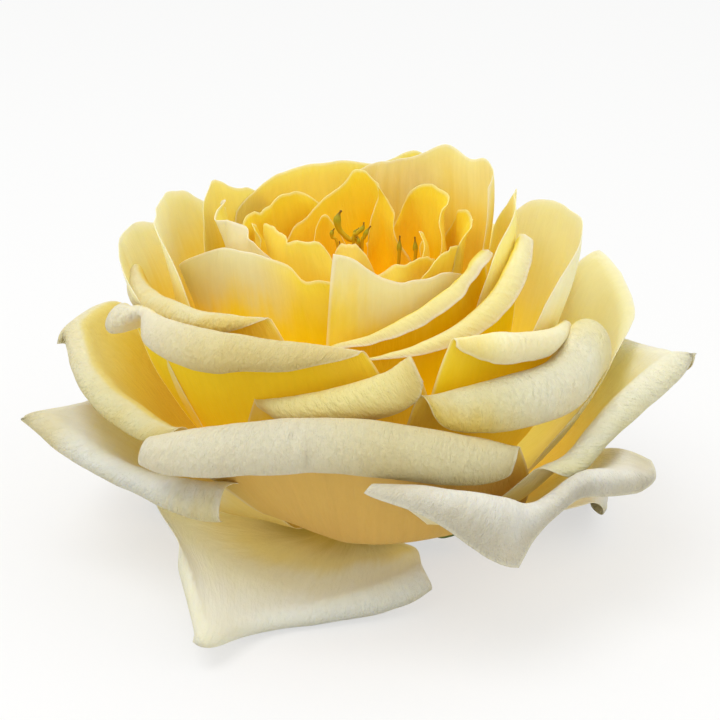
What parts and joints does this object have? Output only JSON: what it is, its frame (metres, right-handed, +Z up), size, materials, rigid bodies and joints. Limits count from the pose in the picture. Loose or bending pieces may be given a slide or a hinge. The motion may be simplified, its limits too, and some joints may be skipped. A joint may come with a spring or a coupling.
{
  "type": "cut rose flower",
  "caption": "Full cut rose bloom with layered cream and golden yellow petals, rolled outer petals, a central boss of styles, sepals and a short cut stem end.",
  "frame": {"origin": "centre of the bounding box at its lowest level, where the bloom rests on a surface", "axes": "+Z up through the bloom from the cut stem end to the open heart, +X to the right and -Y towards the side with the broad rolled front petal; the bloom leans a few degrees"},
  "size_m": [0.1152, 0.1078, 0.0706],
  "materials": {
    "pale_petal": "matte",
    "yellow_petal": "matte",
    "gold_petal": "matte",
    "green_calyx": "satin",
    "olive_stalk": "satin"
  },
  "bodies": {
    "root": {"guard_back": "pale_petal", "guard_back_left": "pale_petal", "guard_back_right": "pale_petal", "guard_front": "pale_petal", "guard_left": "pale_petal", "guard_right": "pale_petal", "heart_arc": "gold_petal", "heart_back": "gold_petal", "heart_back_left": "gold_petal", "heart_curl_left": "gold_petal", "heart_curl_right": "gold_petal", "heart_front": "gold_petal", "heart_front_left": "gold_petal", "heart_hood": "gold_petal", "heart_lance": "gold_petal", "heart_left": "gold_petal", "heart_right": "gold_petal", "heart_right_front": "gold_petal", "heart_tip": "gold_petal", "hip_and_cut_stem": "green_calyx", "inner_back": "yellow_petal", "inner_back_left": "yellow_petal", "inner_back_right": "yellow_petal", "inner_front_left": "yellow_petal", "inner_front_lip": "yellow_petal", "inner_front_right": "yellow_petal", "inner_left": "yellow_petal", "inner_right": "yellow_petal", "middle_back": "yellow_petal", "middle_back_left": "yellow_petal", "middle_back_right": "yellow_petal", "middle_front": "yellow_petal", "middle_front_left": "yellow_petal", "middle_front_right": "yellow_petal", "middle_left": "yellow_petal", "middle_left_back": "yellow_petal", "middle_right": "yellow_petal", "middle_right_lip": "yellow_petal", "outer_back": "pale_petal", "outer_back_left": "pale_petal", "outer_back_right": "pale_petal", "outer_front": "pale_petal", "outer_left": "pale_petal", "outer_right": "pale_petal", "outer_right_back": "pale_petal", "outer_right_low": "pale_petal", "sepal_1": "green_calyx", "sepal_2": "green_calyx", "sepal_3": "green_calyx", "sepal_4": "green_calyx", "sepal_5": "green_calyx", "styles_and_stamens": "olive_stalk"}
  },
  "joints": []
}
